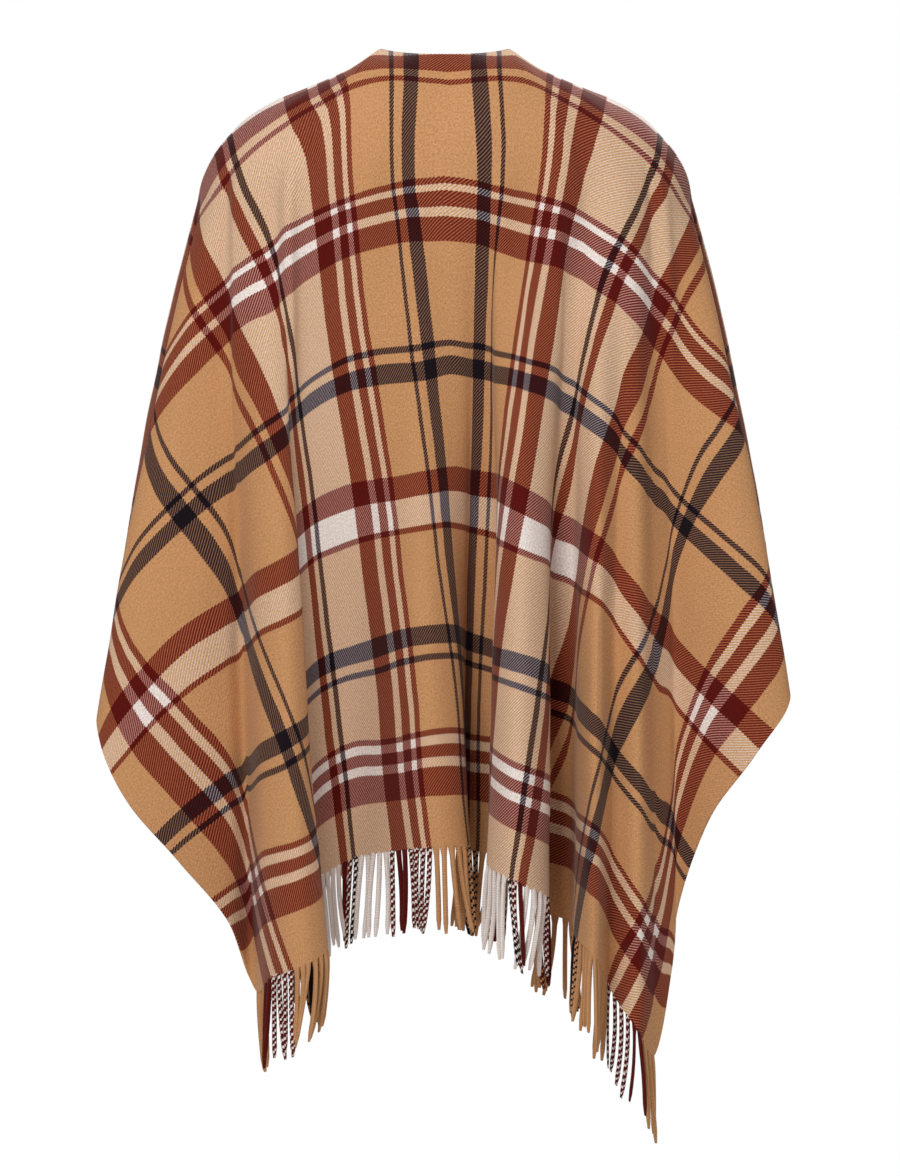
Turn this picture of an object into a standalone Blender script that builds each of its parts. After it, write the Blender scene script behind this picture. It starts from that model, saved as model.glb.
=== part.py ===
"""A fringed wool poncho, filled out as it hangs on a pair of shoulders, with no wearer in it.

It is one rectangle of thick woven cloth with a round neck and an open slit down the middle of the front. The
back hem and the front hem are fringed with twisted strands, and the front is cut shorter than the back. The
cloth rests on the neck and the shoulders and falls from them in flutes, and its corners hang lowest.

Metres, +Z up. The origin is in the middle of the neck at shoulder height. -Y is the wearer's back and +X the
wearer's right, so looking along +Y shows the back.
"""

import math
from collections import namedtuple

import bmesh
import bpy
from mathutils import Vector

# --- the cloth, as it was cut ---------------------------------------------------------------------------
HALF_WIDTH = 0.66  # from the middle of the back to a side edge
BACK_LENGTH = 0.80  # from the shoulder line down to the back hem
FRONT_LENGTH = 0.70  # and down to the front hem, as the neck is cut 5 cm before the middle
WALL = 0.0025  # thick brushed wool
FRINGE_LENGTH = 0.084
FRINGE_PITCH = 0.0125  # from one strand to the next, along the hem
STRAND_WIDTH = 0.0046
STRAND_LEAN = 0.0016  # how far a strand's end strays sideways
STRIP_DEPTH = 0.006  # the woven edge that holds the strands
SEAM_GAP = 0.0008  # the strip is parted from the cloth by this much

# --- the neck and shoulders that it rests on ------------------------------------------------------------
NECK_HALF_WIDTH = 0.064
NECK_BACK = -0.058  # the back neck edge lies this far behind the shoulder line
NECK_FRONT = 0.072
NECK_FRONT_DROP = 0.090
NECK_RISE = 0.008  # the cloth stands this high where it leaves the neck sideways
SLIT_HALF_WIDTH = 0.009  # half the opening between the fronts, at the neck
# The top of the shoulder, from the neck outwards.
SHOULDER_X_Z = (
    (0.064, 0.008),
    (0.094, -0.012),
    (0.143, -0.033),
    (0.170, -0.044),
    (0.200, -0.063),
    (0.217, -0.082),
    (0.229, -0.103),
)
NECK_STEEPNESS = 0.85  # how steeply the cloth leaves the neck edge in the middle, where 1 is 45 degrees
NECK_FLARE = 0.15  # how far it turns sideways at the sides of the neck
FAN_POWER = 2.2  # how late along the shoulder the cloth turns from backwards to sideways

# --- the yoke: the smooth ring round the shoulders and chest, below which the folds open -----------------
YOKE_HALF_WIDTH = 0.246
YOKE_BACK = 0.120
YOKE_FRONT = 0.118
YOKE_Z = -0.142
YOKE_SQUARENESS = 2.6  # 2 is an ellipse
LEAVING_REACH = 0.42  # how long the curve to the yoke keeps its first direction, as a share of its span
ARRIVING_REACH = 0.36  # and its last
SIDE_BOW = 0.008  # the sides swell outwards by this much halfway down

# --- the grid of the wall -------------------------------------------------------------------------------
NECK_STEPS = 10  # columns in a quarter that start on the neck edge
SHOULDER_STEPS = 36  # columns in a quarter that start on the shoulder line
YOKE_ROWS = 4
SKIRT_ROWS = 4

# Each row is one hang line, the crest, side or bottom of a fold, in order round the garment.
#   edge   where it ends on the cloth's outer edge, in cm from the middle of the back, + to the right:
#          66 is the back corner, 146 the side, 216 the front corner and 282 the front slit
#   yoke   where it leaves the yoke, in degrees from the middle of the back
#   x y z  its lower end, in mm
HangLine = namedtuple("HangLine", "name edge yoke x y z")
HANG_LINES = [
    HangLine("left slit edge", -282, -177, -26, 153, -692),
    HangLine("left front crest", -273, -171, -40, 191, -697),
    HangLine("left front hollow", -262, -163, -64, 119, -706),
    HangLine("left front flute", -250, -153, -92, 188, -722),
    HangLine("left front fold", -241, -146, -106, 106, -742),
    HangLine("left front fold, under", -236, -141, -122, 106, -756),
    HangLine("left front side flute, inner", -230, -136, -136, 174, -776),
    HangLine("left front side flute", -224, -132, -152, 178, -798),
    HangLine("left front corner", -216, -124, -180, 143, -866),
    HangLine("left front edge", -205, -116, -216, 114, -768),
    HangLine("left front wing", -195, -110, -262, 142, -692),
    HangLine("left front wing tip", -186, -105, -328, 140, -628),
    HangLine("left front wing, behind the tip", -178, -102, -318, 110, -606),
    HangLine("left front wing, under the fold", -170.5, -100, -248, 90, -590),
    HangLine("left fold before the arm", -166, -98, -232, 72, -582),
    HangLine("left fold, next to the arm", -162, -96, -244, 52, -574),
    HangLine("left arm, front", -155, -94, -300, 46, -556),
    HangLine("left side", -146, -90, -326, 2, -548),
    HangLine("left arm, back", -136, -86, -302, -46, -564),
    HangLine("left arm, next to the fold", -128, -84, -244, -52, -588),
    HangLine("left fold behind the arm", -123, -82, -232, -72, -602),
    HangLine("left wing, under the fold", -118, -80, -248, -90, -618),
    HangLine("left wing, front of tip", -110, -76, -332, -118, -642),
    HangLine("left wing tip", -102, -72, -339, -142, -684),
    HangLine("left wing edge", -93, -67, -312, -152, -742),
    HangLine("left wing", -83, -61, -262, -144, -800),
    HangLine("left wing, inner", -74, -57, -212, -123, -862),
    HangLine("left corner", -66, -53, -187, -109, -928),
    HangLine("left flute, outer", -61, -47, -172, -171, -914),
    HangLine("left flute crest", -55, -42, -138, -198, -900),
    HangLine("left flute edge", -50, -38, -116, -166, -884),
    HangLine("left flute, under", -42, -34, -150, -116, -860),
    HangLine("left panel, outer", -31, -27, -128, -62, -820),
    HangLine("left panel hollow", -24, -15, -90, -60, -799),
    HangLine("left panel, inner", -17, -9, -50, -113, -790),
    HangLine("spine crest", -11, -5, -14, -151, -786),
    HangLine("spine crease", -5, -2, 24, -130, -785),
    HangLine("spine fold", 2, 3, 14, -62, -788),
    HangLine("spine fold, under", 10, 6.5, 58, -72, -797),
    HangLine("spine flute, left", 18, 10, 42, -150, -802),
    HangLine("spine flute crest", 24.5, 14, 68, -206, -818),
    HangLine("spine flute, right", 30.5, 18, 101, -166, -834),
    HangLine("right fold", 38, 23, 92, -94, -850),
    HangLine("right fold, under", 41.5, 26, 124, -86, -860),
    HangLine("right flute, inner", 46.5, 28.5, 130, -142, -874),
    HangLine("right flute crest", 52, 33, 146, -199, -891),
    HangLine("right flute hollow", 57, 39, 160, -154, -920),
    HangLine("right corner flute", 62, 45, 189, -182, -964),
    HangLine("right corner", 66, 49, 206, -147, -990),
    HangLine("right wing, inner", 74, 53, 223, -120, -912),
    HangLine("right wing fold", 82, 57, 232, -112, -838),
    HangLine("right wing", 92, 64, 262, -138, -754),
    HangLine("right wing edge", 100, 70, 304, -160, -696),
    HangLine("right wing tip", 107, 74, 338, -142, -646),
    HangLine("right wing, front of tip", 112, 77, 328, -114, -622),
    HangLine("right wing, under the fold", 118, 80, 248, -90, -608),
    HangLine("right fold behind the arm", 123, 82, 232, -72, -598),
    HangLine("right arm, next to the fold", 128, 84, 244, -52, -586),
    HangLine("right arm, back", 136, 86, 302, -46, -562),
    HangLine("right side", 146, 90, 327, 2, -548),
    HangLine("right arm, front", 155, 94, 302, 48, -558),
    HangLine("right fold, next to the arm", 162, 96, 244, 52, -574),
    HangLine("right fold before the arm", 166, 98, 232, 72, -580),
    HangLine("right front wing, under the fold", 170.5, 100, 248, 90, -586),
    HangLine("right front wing, behind the tip", 178, 102, 318, 110, -602),
    HangLine("right front wing tip", 186, 105, 328, 138, -614),
    HangLine("right front wing", 195, 110, 264, 142, -674),
    HangLine("right front edge", 205, 116, 226, 114, -756),
    HangLine("right front corner", 216, 124, 192, 148, -878),
    HangLine("right front side flute", 224, 131, 158, 180, -808),
    HangLine("right front side flute, inner", 230, 136, 140, 178, -782),
    HangLine("right front fold, under", 236, 141, 126, 108, -760),
    HangLine("right front fold", 241, 146, 110, 106, -746),
    HangLine("right front flute", 249, 152, 94, 191, -726),
    HangLine("right front hollow", 261, 162, 62, 119, -708),
    HangLine("right front crest", 272, 170, 40, 194, -698),
    HangLine("right slit edge", 282, 177, 22, 156, -694),
]

CM = 0.01
MM = 0.001
BACK_CORNER = HALF_WIDTH
SIDE = HALF_WIDTH + BACK_LENGTH  # distance along the cloth's edge from the middle of the back to the side
FRONT_CORNER = SIDE + FRONT_LENGTH
SLIT = FRONT_CORNER + HALF_WIDTH


# --- curves ---------------------------------------------------------------------------------------------
def through(knots, values, at):
    """The smooth curve through vectors at uneven knots, read at one place."""
    last = len(knots) - 2
    i = min(max(sum(1 for k in knots if k <= at) - 1, 0), last)

    def slope(j):
        before, after = max(j - 1, 0), min(j + 1, len(knots) - 1)
        return (values[after] - values[before]) / (knots[after] - knots[before])

    span = knots[i + 1] - knots[i]
    t = (at - knots[i]) / span
    rise = values[i + 1] - values[i]
    start, end = slope(i) * span, slope(i + 1) * span
    return values[i] + start * t + (3 * rise - 2 * start - end) * t**2 + (start + end - 2 * rise) * t**3


def bezier(a, b, c, d, t):
    s = 1 - t
    return a * s**3 + b * (3 * s * s * t) + c * (3 * s * t * t) + d * t**3


def lengths_along(points):
    """The distance of each point from the first, along the line through them."""
    found = [0.0]
    for before, after in zip(points, points[1:]):
        found.append(found[-1] + (after - before).length)
    return found


SHOULDER = [Vector((x, 0.0, z)) for x, z in SHOULDER_X_Z]
SHOULDER_KNOTS = [NECK_HALF_WIDTH + d for d in lengths_along(SHOULDER)]
SHOULDER_END = SHOULDER_KNOTS[-1]  # cloth from the middle of the back to the shoulder's end
EDGE_KNOTS = [line.edge * CM for line in HANG_LINES]
HEM_POINTS = [Vector((line.x, line.y, line.z)) * MM for line in HANG_LINES]
YOKE_ANGLES = [Vector((math.radians(line.yoke), 0.0)) for line in HANG_LINES]


# --- the three places that a hang line passes -----------------------------------------------------------
def facing_edge(around):
    """The place on the back's edge that faces this place on the front's edge, and the other way round."""
    if around <= BACK_CORNER:
        return SLIT - around
    if around <= SIDE:
        return SIDE + (SIDE - around) * FRONT_LENGTH / BACK_LENGTH
    if around <= FRONT_CORNER:
        return SIDE - (around - SIDE) * BACK_LENGTH / FRONT_LENGTH
    return SLIT - around


def top_distance(edge):
    """How far from the middle a hang line starts, along the neck edge and the shoulder."""
    around = abs(edge)
    if around > SIDE:
        around = facing_edge(around)
    return around / SIDE * SHOULDER_END


def top_point(edge):
    """Where the cloth of a hang line starts: on the neck edge, or on top of the shoulder."""
    side = math.copysign(1, edge)
    distance = top_distance(edge)
    if distance >= NECK_HALF_WIDTH - 1e-6:
        point = through(SHOULDER_KNOTS, SHOULDER, min(distance, SHOULDER_END))
        return Vector((side * point.x, 0.0, point.z))
    share = distance / NECK_HALF_WIDTH
    depth = 1 - share**3
    if abs(edge) < SIDE:
        return Vector((side * NECK_HALF_WIDTH * share, NECK_BACK * depth, NECK_RISE * (1 - depth)))
    across = SLIT_HALF_WIDTH + (NECK_HALF_WIDTH - SLIT_HALF_WIDTH) * share
    return Vector((side * across, NECK_FRONT * depth, NECK_RISE - NECK_FRONT_DROP * (1 - share) ** 1.5))


def yoke_point(edge):
    """Where a hang line leaves the yoke's ring."""
    angle = through(EDGE_KNOTS, YOKE_ANGLES, edge).x
    power = 2 / YOKE_SQUARENESS
    across = math.copysign(abs(math.sin(angle)) ** power, math.sin(angle)) * YOKE_HALF_WIDTH
    depth = YOKE_BACK if abs(angle) < math.pi / 2 else YOKE_FRONT
    behind = math.copysign(abs(math.cos(angle)) ** power, math.cos(angle)) * depth
    return Vector((across, -behind, YOKE_Z))


def hem_point(edge):
    return through(EDGE_KNOTS, HEM_POINTS, edge)


def leaving_direction(edge):
    """The way the cloth leaves the top: back or forward over the shoulder, and sideways at its end."""
    side = math.copysign(1, edge)
    behind = -1 if abs(edge) < SIDE else 1
    distance = top_distance(edge)
    if distance < NECK_HALF_WIDTH:
        share = distance / NECK_HALF_WIDTH
        return Vector((side * NECK_FLARE * share, behind, -NECK_STEEPNESS * (1 - share))).normalized()
    share = (distance - NECK_HALF_WIDTH) / (SHOULDER_END - NECK_HALF_WIDTH)
    fan = 0.5 * math.pi * share**FAN_POWER
    inner = SHOULDER[-2] if share > 0.8 else SHOULDER[0]
    along = (SHOULDER[-1] - inner).normalized()
    outward = Vector((side * along.x, 0.0, along.z))
    across = Vector((0.0, behind, 0.0))
    return (outward * math.sin(fan) + across * math.cos(fan)).normalized()


def hang_line(edge):
    """The points of one hang line, from the top over the yoke to the hem."""
    top, yoke, hem = top_point(edge), yoke_point(edge), hem_point(edge)
    reach = (yoke - top).length
    downwards = ((hem - yoke).normalized() + Vector((0, 0, -1))).normalized()
    leaving = top + leaving_direction(edge) * reach * LEAVING_REACH
    arriving = yoke - downwards * reach * ARRIVING_REACH
    points = [bezier(top, leaving, arriving, yoke, row / YOKE_ROWS) for row in range(YOKE_ROWS)]
    bow = SIDE_BOW * math.copysign(abs(yoke.x) / YOKE_HALF_WIDTH, yoke.x) ** 5
    for row in range(SKIRT_ROWS + 1):
        share = row / SKIRT_ROWS
        points.append(yoke.lerp(hem, share) + Vector((4 * bow * share * (1 - share), 0, 0)))
    return points


def column_edges():
    """Where the wall's columns end on the cloth's edge, from slit to slit, alike in the four quarters."""
    neck = [NECK_HALF_WIDTH * i / NECK_STEPS for i in range(NECK_STEPS)]
    span = SHOULDER_END - NECK_HALF_WIDTH
    shoulder = [NECK_HALF_WIDTH + span * i / SHOULDER_STEPS for i in range(SHOULDER_STEPS + 1)]
    back = [distance / SHOULDER_END * SIDE for distance in neck + shoulder]
    nearest = min(range(len(back)), key=lambda i: abs(back[i] - BACK_CORNER))
    back[nearest] = BACK_CORNER  # a column runs to each corner of the cloth
    front = [facing_edge(edge) for edge in reversed(back[:-1])]
    right = back + front
    return [-edge for edge in reversed(right[1:])] + right


# --- Blender objects ------------------------------------------------------------------------------------
def material(name, colour):
    made = bpy.data.materials.new(name)
    made.use_nodes = True
    shader = made.node_tree.nodes["Principled BSDF"]
    shader.inputs["Base Color"].default_value = (*colour, 1.0)
    shader.inputs["Roughness"].default_value = 0.9
    shader.inputs["Metallic"].default_value = 0.0
    return made


def new_object(name, mesh, finish, collection):
    made = bpy.data.objects.new(name, mesh)
    made.data.materials.append(finish)
    collection.objects.link(made)
    return made


def cloth(finish, collection):
    """The one piece of cloth: back, shoulders and both fronts. Gives its lower edge, column by column."""
    edges = column_edges()
    sheet = bmesh.new()
    grid = [[sheet.verts.new(point) for point in hang_line(edge)] for edge in edges]
    for left, right in zip(grid, grid[1:]):
        for row in range(len(left) - 1):
            sheet.faces.new((left[row], left[row + 1], right[row + 1], right[row]))
    sheet.normal_update()
    hem = []
    for edge, column in zip(edges, grid):
        above, end = column[-2:]
        hem.append(HemPoint(edge, end.co.copy(), (end.co - above.co).normalized(), end.normal.copy()))
    bmesh.ops.remove_doubles(sheet, verts=sheet.verts, dist=1e-5)  # joins back and fronts along the shoulders
    bmesh.ops.recalc_face_normals(sheet, faces=sheet.faces)
    mesh = bpy.data.meshes.new("poncho_cloth")
    sheet.to_mesh(mesh)
    sheet.free()
    mesh.shade_smooth()
    made = new_object("poncho_cloth", mesh, finish, collection)
    wall = made.modifiers.new("wall", "SOLIDIFY")
    wall.thickness = WALL
    wall.offset = 0.0
    return hem


# A place on the cloth's lower edge: how far along the edge, where, which way the cloth runs on, and its face.
HemPoint = namedtuple("HemPoint", "edge point down face")


def fringe(name, hem, finish, collection):
    """One hem's fringe: a narrow woven strip below the cloth's edge, with strands out of its lower side."""
    lengths = lengths_along([place.point for place in hem])
    count = round(lengths[-1] / FRINGE_PITCH)
    pitch = lengths[-1] / count
    work = bmesh.new()
    before = None
    for number in range(count):
        middle = (number + 0.5) * pitch
        start, end = middle - STRAND_WIDTH / 2, middle + STRAND_WIDTH / 2
        for bend in lengths[1:-1]:  # the strip follows each bend of the wall between two strands
            if number and end - pitch + 1e-4 < bend < start - 1e-4:
                corner = strip_section(work, hem, lengths, bend)
                join_sections(work, before, corner, open_below=False)
                before = corner
        left = strip_section(work, hem, lengths, start)
        right = strip_section(work, hem, lengths, end)
        join_sections(work, before, left, open_below=False)
        join_sections(work, left, right, open_below=True)
        root = [left[3], right[3], right[2], left[2]]
        for ring in strand_rings(number, [corner.co.copy() for corner in root]):
            ring = [work.verts.new(corner) for corner in ring]
            for i in range(4):
                work.faces.new((root[i], root[(i + 1) % 4], ring[(i + 1) % 4], ring[i]))
            root = ring
        work.faces.new(root)
        before = right
    work.faces.new(before)
    bmesh.ops.recalc_face_normals(work, faces=work.faces)
    mesh = bpy.data.meshes.new(name)
    work.to_mesh(mesh)
    work.free()
    new_object(name, mesh, finish, collection)


def strip_section(work, hem, lengths, distance):
    """The four corners of the woven strip where it is cut across, this far along the hem."""
    i = min(max(sum(1 for length in lengths if length <= distance) - 1, 0), len(lengths) - 2)
    share = (distance - lengths[i]) / (lengths[i + 1] - lengths[i])
    point, down, face = (hem[i][k].lerp(hem[i + 1][k], share) for k in (1, 2, 3))
    top = point + down * SEAM_GAP
    bottom = top + down * STRIP_DEPTH
    half = face * WALL / 2
    return [work.verts.new(corner) for corner in (top - half, top + half, bottom + half, bottom - half)]


def join_sections(work, left, right, open_below):
    """The strip's sides between two of its cross-sections, or its first end where there is no left one."""
    if left is None:
        work.faces.new(reversed(right))
        return
    for i in range(4):
        if i == 2 and open_below:
            continue
        j = (i + 1) % 4
        work.faces.new((left[i], left[j], right[j], right[i]))


def strand_rings(number, root):
    """The rings below a strand's root, which draws out to a blunt end and leans a little its own way."""
    middle = sum(root, Vector()) / len(root)
    lean = Vector((math.sin(2.1 * number), math.cos(1.7 * number), 0)) * STRAND_LEAN
    length = (FRINGE_LENGTH - STRIP_DEPTH) * (1 + 0.04 * math.sin(3.3 * number))
    for share, width in ((0.5, 1.0), (1.0, 0.6)):
        centre = middle + Vector((0, 0, -length * share)) + lean * share
        yield [centre + (corner - middle) * width for corner in root]


def main():
    for old in list(bpy.data.objects):
        bpy.data.objects.remove(old)
    collection = bpy.data.collections.new("poncho")
    bpy.context.scene.collection.children.link(collection)
    wool = material("camel wool", (0.55, 0.33, 0.16))
    yarn = material("cream yarn", (0.72, 0.58, 0.44))
    edge = cloth(wool, collection)
    for name, first, last in (
        ("fringe_back", -BACK_CORNER, BACK_CORNER),
        ("fringe_front_right", FRONT_CORNER, SLIT),
        ("fringe_front_left", -SLIT, -FRONT_CORNER),
    ):
        hem = [place for place in edge if first - 1e-6 <= place.edge <= last + 1e-6]
        fringe(name, hem, yarn, collection)


main()
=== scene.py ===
"""A fringed wool poncho, open down the front, filled out as it hangs from the shoulders with no wearer in it.

The cloth is one rectangle of brushed twill with a round neck and a slit down the front. It is laid out here
from the hang lines of its folds. Every point of it knows its place on the flat cloth, so the plaid and the
twill run as they were woven. The fringe is twisted from the warp yarns at the two hems.

Metres, +Z up. -Y is the wearer's back, which the camera faces, and +X is the wearer's right.
"""

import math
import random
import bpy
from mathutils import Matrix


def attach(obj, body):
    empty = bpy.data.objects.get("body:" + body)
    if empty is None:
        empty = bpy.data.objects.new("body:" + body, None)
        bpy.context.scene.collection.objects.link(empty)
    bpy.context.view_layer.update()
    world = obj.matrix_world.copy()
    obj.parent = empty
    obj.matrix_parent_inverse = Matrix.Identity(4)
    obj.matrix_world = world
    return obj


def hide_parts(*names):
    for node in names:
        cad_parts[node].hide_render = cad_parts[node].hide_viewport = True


bl_info = {
    "name": "Fringed Wool Poncho",
    "version": (1, 0, 0),
    "blender": (4, 5, 0),
    "location": "View3D > Sidebar > Poncho",
    "description": "Lays out a plaid wool poncho with its fringe, and the studio round it",
    "category": "Object",
}

from collections import namedtuple

import bpy
import numpy as np
from mathutils import Vector, noise

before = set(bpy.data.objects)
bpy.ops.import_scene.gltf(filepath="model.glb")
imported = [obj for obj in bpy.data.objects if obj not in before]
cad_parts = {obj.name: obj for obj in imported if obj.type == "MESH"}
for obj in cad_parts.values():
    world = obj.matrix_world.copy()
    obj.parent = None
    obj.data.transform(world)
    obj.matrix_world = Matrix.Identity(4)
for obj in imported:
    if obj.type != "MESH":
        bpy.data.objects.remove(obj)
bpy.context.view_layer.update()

CM = 0.01
MM = 0.001

# --- the cloth, as it was cut ---
HALF_WIDTH = 0.66  # from the middle of the back to a side edge
BACK_LENGTH = 0.80  # from the shoulder line down to the back hem
FRONT_LENGTH = 0.70  # and from the shoulder line down to the front hem
NECK_FORWARD = 0.025  # how far in front of the shoulder line the ends of the neck's cut lie
NECK_BACK_CUT = 0.012  # how far behind the shoulder line the cut goes
NECK_FRONT_CUT = 0.10  # how far it goes on in front of its ends, to where the slit starts

# Places along the cloth's outer edge, from the middle of the back hem.
SIDE = HALF_WIDTH + BACK_LENGTH  # the end of the shoulder line
FRONT_CORNER = SIDE + FRONT_LENGTH
SLIT = FRONT_CORNER + HALF_WIDTH

# --- the neck and shoulders that it rests on ---
NECK_HALF_WIDTH = 0.064
NECK_BACK = -0.058
NECK_FRONT = 0.072
NECK_FRONT_DROP = 0.090  # how far the top of the slit hangs below the sides of the neck
NECK_RISE = 0.008  # how much higher the sides of the neck are than its back
SLIT_HALF_WIDTH = 0.009
# The top of the shoulder, from the neck outwards.
SHOULDER_X_Z = (
    (0.064, 0.008), (0.094, -0.012), (0.143, -0.033), (0.170, -0.044), (0.200, -0.063), (0.217, -0.082),
    (0.229, -0.103),
)

# --- how the cloth leaves the neck and shoulders, and reaches the yoke ---
NECK_FALL = 0.85  # how steeply it falls from the middle of the neck
NECK_FAN = 0.5  # how far it turns outwards beside the neck
SHOULDER_FAN = 2.2  # the power by which it turns outwards, over the length of the shoulder
TIP_START = 0.5  # from where on, along the shoulder, it takes up the slope of the shoulder's end
TOP_REACH = 0.42  # how far it keeps each of its two directions, as shares of the way to the yoke
YOKE_REACH = 0.36

# --- the yoke: the smooth ring round the shoulders and chest, below which the folds open ---
YOKE_HALF_WIDTH = 0.246
YOKE_BACK = 0.120
YOKE_FRONT = 0.118
YOKE_Z = -0.142
YOKE_SQUARENESS = 2.6
SIDE_BOW = 0.008  # how far the cloth bows outwards at the two sides, below the yoke

# Which threads lie on the yoke: degrees from the middle of the back, then cm from the cloth's middle, across
# and down.
YokeThread = namedtuple("YokeThread", "degrees across down")
YOKE_THREADS = [YokeThread(*row) for row in (
    (0, 0.0, 15.8),
    (16, 11.2, 14.2),
    (31, 19.0, 11.6),
    (52, 24.9, 7.6),
    (75, 29.5, 3.4),
    (90, 32.0, 0.0),
)]

# Each row is one hang line, the crest, side or bottom of a fold, in order round the garment.
#   edge   where it ends on the cloth's outer edge, in cm from the middle of the back, + to the right
#   yoke   where it leaves the yoke, in degrees from the middle of the back
#   x y z  its lower end, in mm
HangLine = namedtuple("HangLine", "name edge yoke x y z")
HANG_LINES = [HangLine(*row) for row in (
    ("left slit edge", -282, -177, -26, 153, -692),
    ("left front crest", -273, -171, -40, 191, -697),
    ("left front hollow", -262, -163, -64, 119, -706),
    ("left front flute", -250, -153, -92, 188, -722),
    ("left front fold", -241, -146, -106, 106, -742),
    ("left front fold, under", -236, -141, -122, 106, -756),
    ("left front side flute, inner", -230, -136, -136, 174, -776),
    ("left front side flute", -224, -132, -152, 178, -798),
    ("left front corner", -216, -124, -180, 143, -866),
    ("left front edge", -205, -116, -216, 114, -768),
    ("left front wing", -195, -110, -262, 142, -692),
    ("left front wing tip", -186, -105, -328, 140, -628),
    ("left front wing, behind the tip", -178, -102, -318, 110, -606),
    ("left front wing, under the fold", -170.5, -100, -248, 90, -590),
    ("left fold before the arm", -166, -98, -232, 72, -582),
    ("left fold, next to the arm", -162, -96, -244, 52, -574),
    ("left arm, front", -155, -94, -300, 46, -556),
    ("left side", -146, -90, -326, 2, -548),
    ("left arm, back", -136, -86, -302, -46, -564),
    ("left arm, next to the fold", -128, -84, -244, -52, -588),
    ("left fold behind the arm", -123, -82, -232, -72, -602),
    ("left wing, under the fold", -118, -80, -248, -90, -618),
    ("left wing, front of tip", -110, -76, -332, -118, -642),
    ("left wing tip", -102, -72, -339, -142, -684),
    ("left wing edge", -93, -67, -312, -152, -742),
    ("left wing", -83, -61, -262, -144, -800),
    ("left wing, inner", -74, -57, -212, -123, -862),
    ("left corner", -66, -53, -187, -109, -928),
    ("left flute, outer", -61, -47, -172, -171, -914),
    ("left flute crest", -55, -42, -138, -198, -900),
    ("left flute edge", -50, -38, -116, -166, -884),
    ("left flute, under", -42, -34, -150, -116, -860),
    ("left panel, outer", -31, -27, -128, -62, -820),
    ("left panel hollow", -24, -15, -90, -60, -799),
    ("left panel, inner", -17, -9, -50, -113, -790),
    ("spine crest", -11, -5, -14, -151, -786),
    ("spine crease", -5, -2, 24, -130, -785),
    ("spine fold", 2, 3, 14, -62, -788),
    ("spine fold, under", 10, 6.5, 58, -72, -797),
    ("spine flute, left", 18, 10, 42, -150, -802),
    ("spine flute crest", 24.5, 14, 68, -206, -818),
    ("spine flute, right", 30.5, 18, 101, -166, -834),
    ("right fold", 38, 23, 92, -94, -850),
    ("right fold, under", 41.5, 26, 124, -86, -860),
    ("right flute, inner", 46.5, 28.5, 130, -142, -874),
    ("right flute crest", 52, 33, 146, -199, -891),
    ("right flute hollow", 57, 39, 160, -154, -920),
    ("right corner flute", 62, 45, 189, -182, -964),
    ("right corner", 66, 49, 206, -147, -990),
    ("right wing, inner", 74, 53, 223, -120, -912),
    ("right wing fold", 82, 57, 232, -112, -838),
    ("right wing", 92, 64, 262, -138, -754),
    ("right wing edge", 100, 70, 304, -160, -696),
    ("right wing tip", 107, 74, 338, -142, -646),
    ("right wing, front of tip", 112, 77, 328, -114, -622),
    ("right wing, under the fold", 118, 80, 248, -90, -608),
    ("right fold behind the arm", 123, 82, 232, -72, -598),
    ("right arm, next to the fold", 128, 84, 244, -52, -586),
    ("right arm, back", 136, 86, 302, -46, -562),
    ("right side", 146, 90, 327, 2, -548),
    ("right arm, front", 155, 94, 302, 48, -558),
    ("right fold, next to the arm", 162, 96, 244, 52, -574),
    ("right fold before the arm", 166, 98, 232, 72, -580),
    ("right front wing, under the fold", 170.5, 100, 248, 90, -586),
    ("right front wing, behind the tip", 178, 102, 318, 110, -602),
    ("right front wing tip", 186, 105, 328, 138, -614),
    ("right front wing", 195, 110, 264, 142, -674),
    ("right front edge", 205, 116, 226, 114, -756),
    ("right front corner", 216, 124, 192, 148, -878),
    ("right front side flute", 224, 131, 158, 180, -808),
    ("right front side flute, inner", 230, 136, 140, 178, -782),
    ("right front fold, under", 236, 141, 126, 108, -760),
    ("right front fold", 241, 146, 110, 106, -746),
    ("right front flute", 249, 152, 94, 191, -726),
    ("right front hollow", 261, 162, 62, 119, -708),
    ("right front crest", 272, 170, 40, 194, -698),
    ("right slit edge", 282, 177, 22, 156, -694),
)]

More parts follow.
